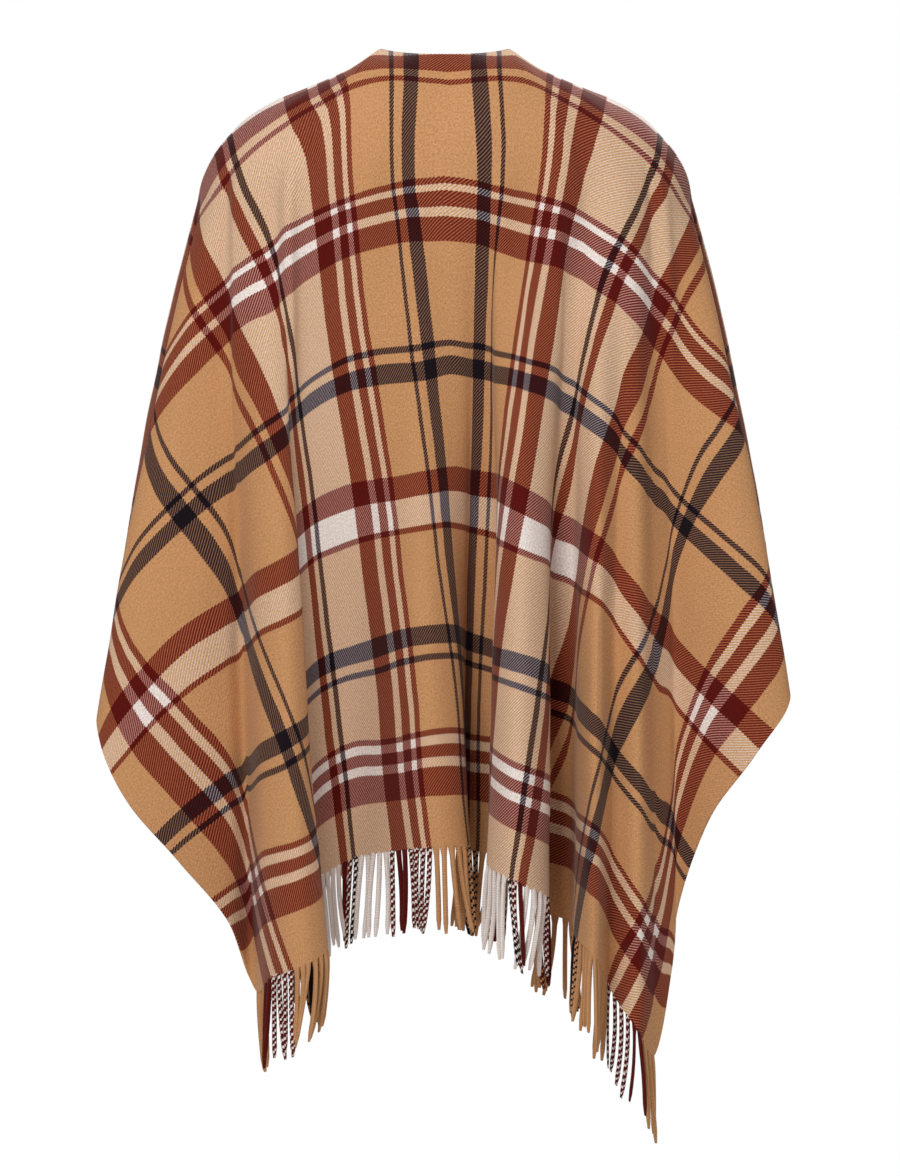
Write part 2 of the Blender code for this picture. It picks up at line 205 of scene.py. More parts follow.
# Smaller creases, each along a hang line. It runs from `start` to `end`, where 0 is the top of the shoulder,
# 1 the yoke and 2 the hem. The width is in cm of the cloth's edge, and the depth in mm, + for a ridge.
Crease = namedtuple("Crease", "name edge start end width depth")
CREASES = [Crease(*row) for row in (
    ("spine pinch", -8, 0.70, 1.32, 3.2, -4.0),
    ("spine ridge, left", -15, 0.55, 1.60, 4.5, 4.0),
    ("spine crest, sharp", -7, 0.95, 2.30, 1.8, 3.0),
    ("spine crease", 0, 0.85, 1.90, 2.2, -6.0),
    ("beside the spine", 8, 0.60, 1.30, 4.0, 3.5),
    ("soft valley, right of the spine", 14, 0.80, 1.55, 3.6, -6.0),
    ("right flute, upper", 24, 0.70, 1.45, 6.0, 6.0),
    ("right flute, upper valley", 35, 0.72, 1.50, 4.5, -7.0),
    ("right shoulder blade", 48, 0.60, 1.35, 6.5, 6.0),
    ("right corner valley", 58, 0.78, 1.60, 4.2, -6.0),
    ("right flute, long valley", 41, 1.05, 2.10, 2.0, -3.5),
    ("right wing, upper ridge", 72, 0.70, 1.40, 6.0, 5.0),
    ("right wing, upper valley", 84, 0.85, 1.55, 4.0, -4.5),
    ("left blade, inner", -22, 0.60, 1.40, 4.5, -4.5),
    ("left blade", -31, 0.62, 1.35, 5.5, 5.0),
    ("left flute, upper valley", -40, 0.75, 1.50, 4.2, -7.0),
    ("left flute, upper", -52, 0.66, 1.45, 6.0, 6.5),
    ("left flute, sharp edge", -51, 1.40, 2.20, 2.0, 3.0),
    ("left wing, valley", -66, 0.80, 1.55, 4.0, -5.5),
    ("left wing, upper ridge", -78, 0.72, 1.45, 6.5, 5.0),
    ("left wing, soft", -92, 0.95, 1.75, 5.0, -4.0),
    ("right front, inner", 268, 0.70, 1.50, 4.5, 5.0),
    ("right front, valley", 256, 0.72, 1.45, 4.0, -5.0),
    ("right chest", 244, 0.60, 1.40, 6.0, 6.0),
    ("right chest, valley", 233, 0.75, 1.50, 4.5, -6.0),
    ("right front wing, ridge", 212, 0.70, 1.40, 6.0, 5.0),
    ("left front, inner", -269, 0.72, 1.55, 4.5, 5.0),
    ("left front, valley", -257, 0.70, 1.40, 4.0, -5.0),
    ("left chest", -245, 0.62, 1.45, 6.0, 6.0),
    ("left chest, valley", -233, 0.74, 1.50, 4.5, -6.0),
    ("left front wing, ridge", -210, 0.72, 1.45, 6.0, 5.0),
)]

# The plaid. The warp is threaded from the middle of the back outwards, and the weft is woven from the
# shoulder line down.
Stripe = namedtuple("Stripe", "cm yarn")


def sett(text):
    """The stripes in a list of widths, in cm, each with its yarn."""
    return [Stripe(float(cm), yarn) for cm, yarn in (stripe.split() for stripe in text.split(","))]


WARP = sett(
    "2.4 camel, 1.7 charcoal, 0.9 camel, 0.6 charcoal, 5.2 camel, 0.6 brick, 0.9 cream, 1.3 brick, "
    "1.0 cream, 2.6 brick, 6.2 cream, 0.6 charcoal, 0.8 cream, 1.4 brick, 4.4 cream, 2.6 brick, "
    "1.0 camel, 0.7 brick, 9.0 camel, 0.6 charcoal, 0.9 camel, 1.9 charcoal, 9.4 camel, 0.6 brick, "
    "0.9 cream, 1.3 brick, 1.0 cream, 2.3 brick, 3.0 camel"
)
WEFT = sett(
    "1.2 cream, 2.4 brick, 0.9 camel, 0.7 brick, 8.6 camel, 0.6 brick, 0.9 cream, 1.3 brick, "
    "1.0 cream, 2.6 brick, 9.8 camel, 0.6 charcoal, 0.9 camel, 1.9 charcoal, 9.0 camel, 2.4 brick, "
    "3.2 cream, 0.7 brick, 9.6 camel, 1.9 charcoal, 0.9 camel, 0.6 charcoal, 6.6 camel, 0.6 brick, "
    "0.9 cream, 1.3 brick, 1.0 cream, 2.6 brick, 5.3 camel"
)

# --- how finely it is laid out ---
NECK_STEPS = 30  # columns from the middle to the side of the neck
SHOULDER_STEPS = 150  # columns along a shoulder, at the back or at the front
YOKE_ROWS = 16
SKIRT_ROWS = 40
CREASE_SPREAD = 3  # a crease is left out beyond this many of its widths
EASING_STEPS = 2
EASED_TO, EASED_OUT = 1.3, 1.7  # kinks are eased down to the first height, and no more below the second

# --- the strands ---
STRAND_SIDES = 6
STRAND_CUTS = 7  # rings between the two ends of a strand
STRAND_OVERLAP = 0.0022  # how far a strand starts above the hem's edge
STRAND_STIFF = 0.010  # how far it goes on in the cloth's direction before it hangs
ROOT_HALF_WIDTH = 0.0046  # the most that it spreads where it leaves the hem
ROOT_HALF_THICKNESS = 0.00115
PLY_STEP = 0.36  # how far from the middle of a strand its two yarns are taken, as a share of the pitch

# --- the looks of the weave ---
UPPER_SHARE = 0.79  # how much of a rib's colour comes from the yarn that lies on top
PLAIN_SHARE = 0.06  # how much of a crossing's colour is a plain mixture of the two yarns
DRIFT = 0.009  # how far the threads stray as they hang
HELD_EDGE = 0.12  # they come back into line over this far from an edge
WARP_WANDER, WEFT_WANDER = 0.0022, -0.0018  # and how far the edges of their stripes wander besides
RIB_WANDER = 1.6  # how far the fibres push the ribs about, in radians
RIB_STEP = 0.0010  # how far a stripe's edge steps from rib to rib
DARK_SHOWS = 0.24  # the most by which the darker yarn takes over the ribs
# The fibre and patch terms are the yarn's own uneven tone; the rib term is painted shade along the twill's
# ribs.
FIBRE_SHADE, PATCH_SHADE, RIB_PAINTED_SHADE = 1.5, 0.10, 0.035  # how strongly each of them lightens and darkens
NAP_DEPTH = 0.0007
RIBS_ROUND = 6  # ribs of the twist round a strand
TWIST_DEPTH = 0.0006

# --- the studio ---
VIEW_CENTRE = Vector((0.005, 0.0, -0.530))
VIEW_HEIGHT = 1.176  # what the camera sees, 1 mm to a pixel of the photograph
SENSOR_MM = 36
FLOOR_RADIUS = 4
FLOOR_FADE = (1.6, 3.9)  # the radii between which the floor fades out


# --- the settings that a user would change ---
def size_setting(name, description, default, low, high):
    return bpy.props.FloatProperty(
        name=name, description=description, default=default, min=low, max=high, unit="LENGTH"
    )


def colour_setting(name, description, default):
    return bpy.props.FloatVectorProperty(
        name=name, description=description, subtype="COLOR", default=default, min=0, max=1
    )


def power_setting(name, description, default):
    return bpy.props.FloatProperty(name=name, description=description, default=default, min=0, unit="POWER")


class PONCHO_PG_cloth(bpy.types.PropertyGroup):
    """The cloth's thickness, softness and yarns"""

    wall: size_setting("Thickness", "Thickness of the brushed cloth", 0.0025, 0.001, 0.004)
    rumple: size_setting("Rumple", "Height of the small unevenness all over the cloth", 0.0016, 0, 0.004)
    crease: bpy.props.FloatProperty(
        name="Creases", description="How deep the smaller creases are, 1 as listed", default=1.0, min=0, max=2
    )
    rib: size_setting("Twill rib", "Distance between the twill's diagonal ribs", 0.0025, 0.001, 0.006)
    camel: colour_setting("Camel yarn", "Colour of the ground", (0.560, 0.278, 0.121))
    cream: colour_setting("Cream yarn", "Colour of the pale stripes", (0.84, 0.74, 0.68))
    brick: colour_setting("Brick yarn", "Colour of the red-brown stripes", (0.098, 0.0040, 0.0019))
    charcoal: colour_setting("Charcoal yarn", "Colour of the dark stripes", (0.0075, 0.0038, 0.0072))


class PONCHO_PG_fringe(bpy.types.PropertyGroup):
    """The fringe's strands"""

    length: size_setting("Length", "Length of a strand below the hem", 0.084, 0.02, 0.15)
    pitch: size_setting("Pitch", "Width of cloth whose warp ends go into one strand", 0.0102, 0.005, 0.02)
    thickness: size_setting("Thickness", "Diameter of a twisted strand", 0.0050, 0.002, 0.008)
    lay: size_setting("Lay", "Length of one full turn of the twist", 0.0136, 0.004, 0.03)


class PONCHO_PG_studio(bpy.types.PropertyGroup):
    """The floor, the light and the camera"""

    floor: size_setting("Floor", "Height of the floor, below the wearer's shoulders", -1.42, -4, -1.2)
    key: power_setting("Key light", "Power of the light from above, behind and in front", 98)
    fill: power_setting("Fill light", "Power of the light from the wearer's right", 12)
    sky: bpy.props.FloatProperty(
        name="Surrounding light", description="Strength of the even light from all round", default=0.27, min=0
    )
    distance: size_setting("Camera distance", "How far the camera stands behind the wearer", 10.0, 2, 50)


# --- curves ---
def through(knots, values, at):
    """The smooth curve through vectors at uneven knots, read at one place."""
    last = len(knots) - 2
    i = min(max(sum(1 for k in knots if k <= at) - 1, 0), last)

    def slope(j):
        before, after = max(j - 1, 0), min(j + 1, len(knots) - 1)
        return (values[after] - values[before]) / (knots[after] - knots[before])

    span = knots[i + 1] - knots[i]
    t = (at - knots[i]) / span
    rise = values[i + 1] - values[i]
    start, end = slope(i) * span, slope(i + 1) * span
    return values[i] + start * t + (3 * rise - 2 * start - end) * t**2 + (start + end - 2 * rise) * t**3


def bezier(a, b, c, d, t):
    s = 1 - t
    return a * s**3 + b * (3 * s * s * t) + c * (3 * s * t * t) + d * t**3


def lengths_along(points):
    """The distance of each point from the first, along the line through them."""
    found = [0.0]
    for before, after in zip(points, points[1:]):
        found.append(found[-1] + (after - before).length)
    return found


def smooth_between(low, high, x):
    t = min(max((x - low) / (high - low), 0.0), 1.0)
    return t * t * (3 - 2 * t)


SHOULDER = [Vector((x, 0.0, z)) for x, z in SHOULDER_X_Z]
SHOULDER_KNOTS = [NECK_HALF_WIDTH + d for d in lengths_along(SHOULDER)]
SHOULDER_END = SHOULDER_KNOTS[-1]
EDGE_KNOTS = [line.edge * CM for line in HANG_LINES]
HEM_POINTS = [Vector((line.x, line.y, line.z)) * MM for line in HANG_LINES]
YOKE_ANGLES = [Vector((math.radians(line.yoke), 0.0)) for line in HANG_LINES]
THREAD_KNOTS = [math.radians(thread.degrees) for thread in YOKE_THREADS]
THREADS = [Vector((thread.across, thread.down)) * CM for thread in YOKE_THREADS]


# --- the three places that a hang line passes, in space and on the flat cloth ---
def facing_edge(around):
    """The place on the back's edge that faces this place on the front's edge, and the other way round."""
    if around <= HALF_WIDTH:
        return SLIT - around
    if around <= SIDE:
        return SIDE + (SIDE - around) * FRONT_LENGTH / BACK_LENGTH
    if around <= FRONT_CORNER:
        return SIDE - (around - SIDE) * BACK_LENGTH / FRONT_LENGTH
    return SLIT - around


def top_distance(edge):
    """How far from the middle a hang line starts, along the neck edge and the shoulder."""
    around = abs(edge)
    if around > SIDE:
        around = facing_edge(around)
    return around / SIDE * SHOULDER_END


def top_point(edge):
    side = math.copysign(1, edge)
    distance = top_distance(edge)
    if distance >= NECK_HALF_WIDTH - 1e-6:
        point = through(SHOULDER_KNOTS, SHOULDER, min(distance, SHOULDER_END))
        return Vector((side * point.x, 0.0, point.z))
    share = distance / NECK_HALF_WIDTH
    depth = 1 - share**3
    if abs(edge) < SIDE:
        return Vector((side * NECK_HALF_WIDTH * share, NECK_BACK * depth, NECK_RISE * (1 - depth)))
    across = SLIT_HALF_WIDTH + (NECK_HALF_WIDTH - SLIT_HALF_WIDTH) * share
    return Vector((side * across, NECK_FRONT * depth, NECK_RISE - NECK_FRONT_DROP * (1 - share) ** 1.5))


def top_thread(edge):
    """The same place on the flat cloth: across from its middle, down from the shoulders, + at the back."""
    side = math.copysign(1, edge)
    distance = top_distance(edge)
    if distance >= NECK_HALF_WIDTH - 1e-6:
        out = (distance - NECK_HALF_WIDTH) / (SHOULDER_END - NECK_HALF_WIDTH)
        return Vector((side * distance, -NECK_FORWARD * (1 - out)))
    share = distance / NECK_HALF_WIDTH
    if abs(edge) < SIDE:
        return Vector((side * distance, NECK_BACK_CUT - (NECK_BACK_CUT + NECK_FORWARD) * share**3))
    across = SLIT_HALF_WIDTH + (NECK_HALF_WIDTH - SLIT_HALF_WIDTH) * share
    return Vector((side * across, -NECK_FORWARD - NECK_FRONT_CUT * (1 - share) ** 1.3))


def yoke_angle(edge):
    return through(EDGE_KNOTS, YOKE_ANGLES, edge).x


def yoke_point(edge):
    angle = yoke_angle(edge)
    power = 2 / YOKE_SQUARENESS
    across = math.copysign(abs(math.sin(angle)) ** power, math.sin(angle)) * YOKE_HALF_WIDTH
    depth = YOKE_BACK if abs(angle) < math.pi / 2 else YOKE_FRONT
    behind = math.copysign(abs(math.cos(angle)) ** power, math.cos(angle)) * depth
    return Vector((across, -behind, YOKE_Z))


def yoke_thread(edge):
    angle = yoke_angle(edge)
    at_back = abs(angle) < math.pi / 2
    thread = through(THREAD_KNOTS, THREADS, abs(angle) if at_back else math.pi - abs(angle))
    return Vector((math.copysign(thread.x, angle), thread.y if at_back else -thread.y))


def hem_point(edge):
    return through(EDGE_KNOTS, HEM_POINTS, edge)


def hem_thread(edge):
    side, around = math.copysign(1, edge), abs(edge)
    if around <= HALF_WIDTH:
        return Vector((edge, BACK_LENGTH))
    if around <= FRONT_CORNER:
        return Vector((side * HALF_WIDTH, SIDE - around))
    inset = SLIT_HALF_WIDTH * (around - FRONT_CORNER) / HALF_WIDTH
    return Vector((side * (SLIT - around + inset), -FRONT_LENGTH))


def leaving_direction(edge):
    """The way the cloth leaves the top, in space and on the flat cloth.

    It goes back or forward over the shoulder, and sideways at the shoulder's end.
    """
    side = math.copysign(1, edge)
    behind = -1 if abs(edge) < SIDE else 1
    distance = top_distance(edge)
    if distance < NECK_HALF_WIDTH:
        share = distance / NECK_HALF_WIDTH
        outward = side * NECK_FAN * share * (1 - share)
        leaving = Vector((outward, behind, -NECK_FALL * (1 - share)))
        return leaving.normalized(), Vector((outward, -behind)).normalized()
    share = (distance - NECK_HALF_WIDTH) / (SHOULDER_END - NECK_HALF_WIDTH)
    fan = 0.5 * math.pi * share**SHOULDER_FAN
    shoulder = (SHOULDER[-1] - SHOULDER[0]).normalized()
    tip = (SHOULDER[-1] - SHOULDER[-2]).normalized()
    along = shoulder.lerp(tip, smooth_between(TIP_START, 1.0, share)).normalized()
    outward = Vector((side * along.x, 0.0, along.z))
    across = Vector((0.0, behind, 0.0))
    flat = Vector((side * math.sin(fan), -behind * math.cos(fan)))
    return (outward * math.sin(fan) + across * math.cos(fan)).normalized(), flat


def over_yoke(top, leaving, yoke, arriving):
    """The places of the rows from the top to just above the yoke."""
    reach = (yoke - top).length
    first, last = top + leaving * reach * TOP_REACH, yoke - arriving * reach * YOKE_REACH
    return [bezier(top, first, last, yoke, row / YOKE_ROWS) for row in range(YOKE_ROWS)]


def hang_line(edge):
    """One hang line from the top over the yoke to the hem: its points, and their places on the flat cloth."""
    top, yoke, hem = top_point(edge), yoke_point(edge), hem_point(edge)
    top_uv, yoke_uv, hem_uv = top_thread(edge), yoke_thread(edge), hem_thread(edge)
    leaving, leaving_uv = leaving_direction(edge)
    arriving = ((hem - yoke).normalized() + Vector((0, 0, -1))).normalized()
    points = over_yoke(top, leaving, yoke, arriving)
    threads = over_yoke(top_uv, leaving_uv, yoke_uv, (hem_uv - yoke_uv).normalized())
    bow = SIDE_BOW * math.copysign(abs(yoke.x) / YOKE_HALF_WIDTH, yoke.x) ** 5
    for row in range(SKIRT_ROWS + 1):
        share = row / SKIRT_ROWS
        points.append(yoke.lerp(hem, share) + Vector((4 * bow * share * (1 - share), 0, 0)))
        threads.append(yoke_uv.lerp(hem_uv, share))
    return points, threads


def column_edges():
    """Where the columns end on the cloth's edge, from slit to slit, alike in the four quarters."""
    neck = [NECK_HALF_WIDTH * i / NECK_STEPS for i in range(NECK_STEPS)]
    span = SHOULDER_END - NECK_HALF_WIDTH
    shoulder = [NECK_HALF_WIDTH + span * i / SHOULDER_STEPS for i in range(SHOULDER_STEPS + 1)]
    back = [distance / SHOULDER_END * SIDE for distance in neck + shoulder]
    nearest = min(range(len(back)), key=lambda i: abs(back[i] - HALF_WIDTH))
    back[nearest] = HALF_WIDTH  # a column runs to each corner of the cloth
    front = [facing_edge(edge) for edge in reversed(back[:-1])]
    right = back + front
    return [-edge for edge in reversed(right[1:])] + right


def crease_height(edge, down, wanted):
    """How far the smaller creases lift or sink the cloth at one place."""
    height = 0.0
    for crease in CREASES:
        away = (edge - crease.edge * CM) / (crease.width * CM)
        if abs(away) > CREASE_SPREAD:
            continue
        middle = 0.5 * (crease.start + crease.end)
        along = smooth_between(crease.start, middle, down) * (1 - smooth_between(middle, crease.end, down))
        height += crease.depth * MM * math.exp(-away * away) * along
    return height * wanted


def row_height(row):
    """How far down its hang line a row is: 0 at the top, 1 at the yoke and 2 at the hem."""
    return row / YOKE_ROWS if row < YOKE_ROWS else 1 + (row - YOKE_ROWS) / SKIRT_ROWS


# The whole cloth: where its columns end on its edge, and then arrays of columns by rows, with the points, the
# unit normals outwards, and the places on the flat cloth.
LaidCloth = namedtuple("LaidCloth", "edges points normals threads")


def laid_cloth(settings):
    """Lays out every hang line, then adds the creases and the unevenness."""
    edges = column_edges()
    lines = [hang_line(edge) for edge in edges]
    points = np.array([[tuple(point) for point in line[0]] for line in lines])
    threads = drifted(np.array([[tuple(thread) for thread in line[1]] for line in lines]))
    normals = surface_normals(points)
    lift = np.zeros(points.shape[:2])
    for i, row in np.ndindex(lift.shape):
        down = row_height(row)
        calm = smooth_between(0.0, 0.45, down)
        u, v = threads[i, row]
        rough = uneven(u, v, 11, 7, 0.3) + 0.45 * uneven(u, v, 27, 19, 4.1)
        lift[i, row] = crease_height(edges[i], down, settings.crease) + rough * settings.rumple * calm
    return LaidCloth(edges, eased(points + normals * lift[..., None]), normals, threads)


def uneven(u, v, across, down, seed):
    """Smooth noise from -1 to 1 over the flat cloth, with so many bumps to a metre across and down."""
    return noise.noise(Vector((u * across, v * down, seed)))


def eased(points):
    """Rounds off kinks above the folds, where the columns lie closer together than the cloth is thick."""
    heights = [row_height(row) for row in range(points.shape[1])]
    share = np.array([
        smooth_between(0.0, 0.1, down) * (1 - smooth_between(EASED_TO, EASED_OUT, down)) for down in heights
    ])
    for _ in range(EASING_STEPS):
        between = (points[:-2] + points[2:]) / 2
        points[1:-1] += (between - points[1:-1]) * (0.5 * share[:, None])
    return points


def drifted(threads):
    """Soft cloth never hangs dead true: its threads stray, but not at an edge, a shoulder or the middle."""
    moved = threads.copy()
    for i, row in np.ndindex(threads.shape[:2]):
        u, v = threads[i, row]
        to_hem = BACK_LENGTH - v if v > 0 else FRONT_LENGTH + v
        inside = smooth_between(0, HELD_EDGE, HALF_WIDTH - abs(u)) * smooth_between(0, HELD_EDGE, to_hem)
        free = inside * smooth_between(0.02, 0.12, abs(v)) * smooth_between(0.0, 0.05, abs(u)) * DRIFT
        moved[i, row] += free * uneven(u, v, 8, 6, 7.7), free * uneven(u, v, 9, 6, 2.2)
    return moved


# A place on a hem: how far along the cloth's edge it is, its point, which way the cloth falls, faces and runs
# there, and how wide the hem lies there for each metre of cloth.
HemPlace = namedtuple("HemPlace", "at root down face along stretch")


def hem_place(laid, hem, at):
    """This place on the cloth's edge, between two of the columns that end on the hem."""
    right = next((i for i in hem[1:] if laid.edges[i] >= at), hem[-1])
    left = right - 1
    width = laid.edges[right] - laid.edges[left]
    share = (at - laid.edges[left]) / width
    start, end = Vector(laid.points[left, -1]), Vector(laid.points[right, -1])
    down = (start - Vector(laid.points[left, -3])).normalized()
    face = Vector(laid.normals[left, -1]).lerp(Vector(laid.normals[right, -1]), share).normalized()
    along = (end - start).normalized()
    along = (along - along.dot(face) * face).normalized()
    return HemPlace(at, start.lerp(end, share), down, face, along, (end - start).length / width)


def surface_normals(points):
    """Unit normals of a grid of points, pointing away from the wearer."""
    along, down = np.gradient(points, axis=0), np.gradient(points, axis=1)
    normals = np.cross(down, along)
    length = np.linalg.norm(normals, axis=2, keepdims=True)
    normals /= np.maximum(length, 1e-12)
    spine = normals[normals.shape[0] // 2, -1]
    return normals if spine[1] < 0 else -normals


# --- Blender helpers ---
def only(obj):
    """Selects one object and nothing else."""
    if bpy.context.object and bpy.context.object.mode != "OBJECT":
        bpy.ops.object.mode_set(mode="OBJECT")
    bpy.ops.object.select_all(action="DESELECT")
    obj.select_set(True)
    bpy.context.view_layer.objects.active = obj


class Value:
    """A socket in a material that sums and products are written with."""

    def __init__(self, shader, socket):
        self.shader, self.socket = shader, socket

    def math(self, operation, *others):
        values = {i: value for i, value in enumerate((self, *others))}
        return self.shader.add("Math", {"operation": operation}, values)

    def __add__(self, other):
        return self.math("ADD", other)

    def __sub__(self, other):
        return self.math("SUBTRACT", other)

    def __mul__(self, other):
        return self.math("MULTIPLY", other)

    def __truediv__(self, other):
        return self.math("DIVIDE", other)

    def __neg__(self):
        return self * -1

    def __rsub__(self, other):
        return -self + other

    __radd__, __rmul__ = __add__, __mul__

    def sine(self):
        return self.math("SINE")

    def size(self):
        return self.math("ABSOLUTE")

    def fraction(self):
        return self.math("FRACT")

    def held_between(self, low, high):
        return self.math("MAXIMUM", low).math("MINIMUM", high)

    def above(self, low, high):
        """0 below low, 1 above high, and smooth between."""
        limits = {"Value": self, "From Min": low, "From Max": high}
        return self.shader.add("MapRange", {"interpolation_type": "SMOOTHSTEP"}, limits)


class Finish:
    """One material and the nodes that make it."""

    def __init__(self, name, roughness, sheen, sheen_tint):
        self.material = bpy.data.materials.new(name)
        self.material.use_nodes = True
        self.tree = self.material.node_tree
        self.surface = self.tree.nodes["Principled BSDF"]
        self.surface.inputs["Roughness"].default_value = roughness
        self.surface.inputs["Metallic"].default_value = 0.0
        self.surface.inputs["Specular IOR Level"].default_value = 0.12
        self.surface.inputs["Sheen Weight"].default_value = sheen
        self.surface.inputs["Sheen Roughness"].default_value = 0.45
        self.surface.inputs["Sheen Tint"].default_value = (*sheen_tint, 1)

    def add(self, kind, settings, values, output=0):
        """A node of this kind, with its settings made first and then its sockets filled or linked."""
        node = self.tree.nodes.new("ShaderNode" + kind)
        for key, value in settings.items():
            if key == "stops":
                self.set_stops(node.color_ramp, value)
            else:
                setattr(node, key, value)
        for key, value in values.items():
            if isinstance(value, Value):
                self.tree.links.new(value.socket, node.inputs[key])
            else:
                node.inputs[key].default_value = value
        return Value(self, node.outputs[output])

    def set_stops(self, ramp, stops):
        ramp.interpolation = "CONSTANT"
        for place, _ in stops[2:]:
            ramp.elements.new(place)
        for element, (place, colour) in zip(ramp.elements, stops):
            element.position, element.color = place, (*colour, 1)

    def mixed(self, share, first, second, blend="MIX"):
        """Colours mixed by a share, where first and second are sockets or colours."""
        node = self.tree.nodes.new("ShaderNodeMix")
        node.data_type, node.blend_type = "RGBA", blend
        for index, value in ((0, share), (6, first), (7, second)):
            if isinstance(value, Value):
                self.tree.links.new(value.socket, node.inputs[index])
            else:
                node.inputs[index].default_value = value if index == 0 else (*value, 1)
        return Value(self, node.outputs[2])

    def crossing(self, warp, weft, warp_share):
        """The colour where two yarns cross, which is nearer the darker one than a plain mixture of both."""
        upper = self.add("Gamma", {}, {"Color": warp, "Gamma": warp_share})
        lower = self.add("Gamma", {}, {"Color": weft, "Gamma": 1 - warp_share})
        fused = self.mixed(1.0, upper, lower, "MULTIPLY")
        return self.mixed(PLAIN_SHARE, fused, self.mixed(1 - warp_share, warp, weft))

    def noise(self, place, scale, detail, roughness=0.55):
        values = {"Vector": place, "Scale": scale, "Detail": detail, "Roughness": roughness}
        return self.add("TexNoise", {}, values)

    def across_and_along(self, layer):
        """A UV layer, whole and as its two separate values."""
        place = self.add("UVMap", {"uv_map": layer}, {})
        return place, *(self.add("SeparateXYZ", {}, {"Vector": place}, output) for output in (0, 1))

    def finish(self, colour, height, depth):
        """Colours the surface and raises its relief."""
        self.tree.links.new(colour.socket, self.surface.inputs["Base Color"])
        bump = self.add("Bump", {}, {"Strength": 1.0, "Distance": depth, "Height": height})
        self.tree.links.new(bump.socket, self.surface.inputs["Normal"])
        return self.material


# --- the finishes ---
def yarn_colours(settings):
    return {name: tuple(getattr(settings, name)) for name in ("camel", "cream", "brick", "charcoal")}


def sett_stops(sett, half, colours):
    """Where each stripe starts, from 0 in the middle to 1 at the edge, and its colour."""
    stops, reached = [], 0.0
    for stripe in sett:
        stops.append((reached * CM / half, colours[stripe.yarn]))
        reached += stripe.cm
    return stops


def warp_yarn(across):
    """Which yarn the warp has at this distance from the middle of the back."""
    reached = 0.0
    for stripe in WARP:
        reached += stripe.cm * CM
        if abs(across) < reached:
            return stripe.yarn
    return WARP[-1].yarn


def plaid_twill(settings):
    """Brushed twill: where warp and weft cross, both yarns show in diagonal ribs under a soft nap, with a
    little painted shade along the ribs.
    """
    finish = Finish("brushed_plaid_twill", 0.94, 0.11, (1.0, 0.90, 0.80))
    colours = yarn_colours(settings)
    place, u, v = finish.across_and_along("cloth")
    stray = finish.noise(place, 26, 1.0) - 0.5
    u, v = u + stray * WARP_WANDER, v + stray * WEFT_WANDER
    fibre = finish.noise(place, 460, 3.0, 0.8)
    waves = (u + v) * (math.tau / (settings.rib * math.sqrt(2)))
    rib = (waves + (fibre - 0.5) * RIB_WANDER).sine() * 0.5 + 0.5
    step = (rib - 0.5) * RIB_STEP
    warp_stops = {"stops": sett_stops(WARP, HALF_WIDTH, colours)}
    weft_stops = {"stops": sett_stops(WEFT, BACK_LENGTH, colours)}
    warp = finish.add("ValToRGB", warp_stops, {0: (u.size() + step) / HALF_WIDTH})
    weft = finish.add("ValToRGB", weft_stops, {0: (v.size() - step) / BACK_LENGTH})
    over = finish.crossing(warp, weft, UPPER_SHARE)
    under = finish.crossing(warp, weft, 1 - UPPER_SHARE)
    darker = finish.add("RGBToBW", {}, {"Color": weft}) - finish.add("RGBToBW", {}, {"Color": warp})
    share = (rib + (darker * 0.7).held_between(-DARK_SHOWS, DARK_SHOWS)).above(0.30, 0.70)
    ribbed = finish.mixed(share, under, over)
    patch = finish.noise(place, 9, 2.0)
    # Painted shade: the rib term lightens and darkens the colour from rib to rib, as the ribs' relief would
    # be shaded; the fibre and patch terms are the yarn's own uneven tone.
    tone_and_painted_shade = (fibre - 0.5) * FIBRE_SHADE + (patch - 0.5) * PATCH_SHADE + (rib - 0.5) * RIB_PAINTED_SHADE + 1.0
    napped_and_painted_shade = finish.mixed(1.0, ribbed, tone_and_painted_shade, "MULTIPLY")
    return finish.finish(napped_and_painted_shade, rib * 0.22 + fibre * 0.8, NAP_DEPTH)


def twisted_yarn(settings):
    """Plies that show as ribs winding round the strand, by turns in the colours of its two warp yarns, with
    painted shade in the grooves between the plies.
    """
    finish = Finish("twisted_warp_yarn", 0.92, 0.11, (1.0, 0.92, 0.84))
    _, around, along = finish.across_and_along("strand")
    inside = finish.add("TexCoord", {}, {}, 3)
    stray = finish.noise(inside, 70, 1.0)
    turn = (around + along / settings.lay + (stray - 0.5) * 0.5).fraction()
    groove = (turn * (RIBS_ROUND / 2 * math.tau)).sine().size()
    fibre = finish.noise(inside, 1500, 2.0, 0.7)
    first = finish.add("Attribute", {"attribute_name": "ply_one"}, {}, 0)
    second = finish.add("Attribute", {"attribute_name": "ply_two"}, {}, 0)
    colour = finish.mixed((turn * 2).fraction().above(0.56, 0.70), first, second)
    # Painted shade: the colour is darkened in the grooves between the plies; the fibre term is the yarn's own
    # uneven tone.
    tone_and_painted_shade = groove.above(0.0, 0.6) * 0.27 + (fibre - 0.5) * 0.3 + 0.74
    shaded = finish.mixed(1.0, colour, tone_and_painted_shade, "MULTIPLY")
    return finish.finish(shaded, groove * 0.5 + fibre * 0.25, TWIST_DEPTH)


def pale_floor():
    """Plain matt white that fades out to the rim, so that the studio has no horizon."""
    finish = Finish("pale_floor", 0.9, 0.0, (1, 1, 1))
    place = finish.add("TexCoord", {}, {}, 3)
    away = finish.add("VectorMath", {"operation": "LENGTH"}, {0: place}, 1)
    fade = 1.0 - away.above(*FLOOR_FADE)
    finish.tree.links.new(fade.socket, finish.surface.inputs["Alpha"])
    finish.surface.inputs["Base Color"].default_value = (0.86, 0.86, 0.86, 1)
    return finish.material


